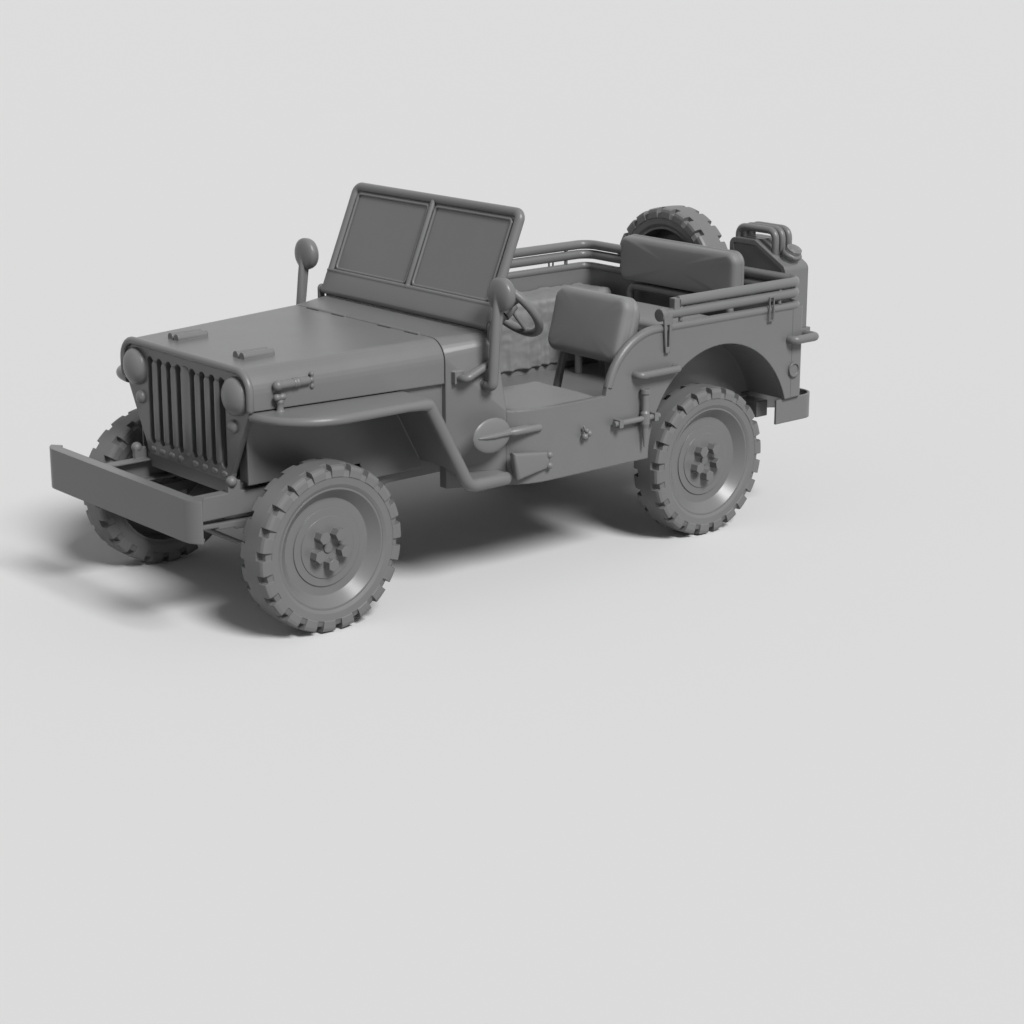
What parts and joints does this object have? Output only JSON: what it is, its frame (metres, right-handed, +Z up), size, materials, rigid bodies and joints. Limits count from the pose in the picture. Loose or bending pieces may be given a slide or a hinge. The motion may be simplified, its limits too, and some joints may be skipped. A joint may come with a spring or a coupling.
{
  "type": "army 4x4 car",
  "caption": "Open light military car with slotted grille, flat fenders, folding windscreen, opening hood, steering front wheels, folded top bows, spare wheel and fuel can.",
  "frame": {"origin": "middle of the footprint on the ground", "axes": "+Z up, the car's front faces -Y, its left side is +X"},
  "size_m": [1.54, 3.284, 1.5212],
  "materials": {
    "paint": "satin",
    "chassis_paint": "matt",
    "cast_iron": "rough",
    "lamp": "satin",
    "tool": "matt",
    "pane": "satin",
    "steering_rim": "satin",
    "canvas": "woven",
    "tyre": "matt",
    "wheel_paint": "satin"
  },
  "bodies": {
    "chassis": {"chassis_frame": "chassis_paint", "cross_members": "chassis_paint", "front_bumper": "paint", "rear_bumpers": "paint", "front_axle": "chassis_paint", "rear_axle": "chassis_paint", "springs": "chassis_paint", "propeller_shafts": "chassis_paint", "engine": "cast_iron", "exhaust": "chassis_paint", "fuel_tank": "chassis_paint", "radiator": "chassis_paint", "grille": "paint", "lamps": "lamp", "fender_left": "paint", "fender_right": "paint", "floor_pan": "paint", "tail_ledges": "paint", "cowl": "paint", "side_left": "paint", "side_right": "paint", "rear_panel": "paint", "wheel_boxes": "paint", "controls": "chassis_paint", "seat_frames": "chassis_paint", "seat_cushions": "canvas", "bench_frame": "chassis_paint", "bench_cushions": "canvas", "top_bows": "paint", "spare_tyre": "tyre", "spare_wheel": "wheel_paint", "rear_carriers": "paint", "fuel_can": "paint", "tools": "tool", "handles": "paint", "mirrors": "paint"},
    "hood": {"hood": "paint"},
    "windscreen": {"windscreen_frame": "paint", "windscreen_panes": "pane"},
    "steering_wheel": {"steering_wheel": "steering_rim"},
    "knuckle_left": {"knuckle_left": "chassis_paint"},
    "knuckle_right": {"knuckle_right": "chassis_paint"},
    "tie_rod": {"tie_rod": "chassis_paint"},
    "wheel_front_left": {"tyre_front_left": "tyre", "wheel_front_left": "wheel_paint"},
    "wheel_rear_left": {"tyre_rear_left": "tyre", "wheel_rear_left": "wheel_paint"},
    "wheel_front_right": {"tyre_front_right": "tyre", "wheel_front_right": "wheel_paint"},
    "wheel_rear_right": {"tyre_rear_right": "tyre", "wheel_rear_right": "wheel_paint"}
  },
  "joints": [
    {"name": "wheel_front_left_spin", "type": "hinge", "parent": "knuckle_left", "child": "wheel_front_left", "pos_m": [0.59, -1.097, 0.33], "axis": [1, 0, 0], "continuous": true},
    {"name": "wheel_rear_left_spin", "type": "hinge", "parent": "chassis", "child": "wheel_rear_left", "pos_m": [0.59, 0.935, 0.33], "axis": [1, 0, 0], "continuous": true},
    {"name": "wheel_front_right_spin", "type": "hinge", "parent": "knuckle_right", "child": "wheel_front_right", "pos_m": [-0.59, -1.097, 0.33], "axis": [1, 0, 0], "continuous": true},
    {"name": "wheel_rear_right_spin", "type": "hinge", "parent": "chassis", "child": "wheel_rear_right", "pos_m": [-0.59, 0.935, 0.33], "axis": [1, 0, 0], "continuous": true},
    {"name": "steer", "type": "hinge", "parent": "chassis", "child": "knuckle_left", "pos_m": [0.5, -1.097, 0.33], "axis": [0, 0, 1], "range_deg": [-27, 27]},
    {"name": "steer_right", "type": "hinge", "parent": "chassis", "child": "knuckle_right", "pos_m": [-0.5, -1.097, 0.33], "axis": [0, 0, 1], "range_deg": [-27, 27]},
    {"name": "tie_rod_pivot", "type": "hinge", "parent": "knuckle_left", "child": "tie_rod", "pos_m": [0.5, -1.247, 0.292], "axis": [0, 0, 1], "range_deg": [-27, 27]},
    {"name": "steering_wheel_turn", "type": "hinge", "parent": "chassis", "child": "steering_wheel", "pos_m": [0.43, -0.022, 1.1], "axis": [0, 0.766, 0.6428], "range_deg": [-324, 324]},
    {"name": "hood_hinge", "type": "hinge", "parent": "chassis", "child": "hood", "pos_m": [0, -0.4545, 1.036], "axis": [-1, 0, 0], "range_deg": [0, 115]},
    {"name": "windscreen_fold", "type": "hinge", "parent": "chassis", "child": "windscreen", "pos_m": [0, -0.24, 1.068], "axis": [-1, 0, 0], "range_deg": [-112, 0]}
  ],
  "couplings": [
    {"joint": "steer_right", "follows": "steer", "ratio": 1},
    {"joint": "tie_rod_pivot", "follows": "steer", "ratio": -1},
    {"joint": "steering_wheel_turn", "follows": "steer", "ratio": 12}
  ]
}
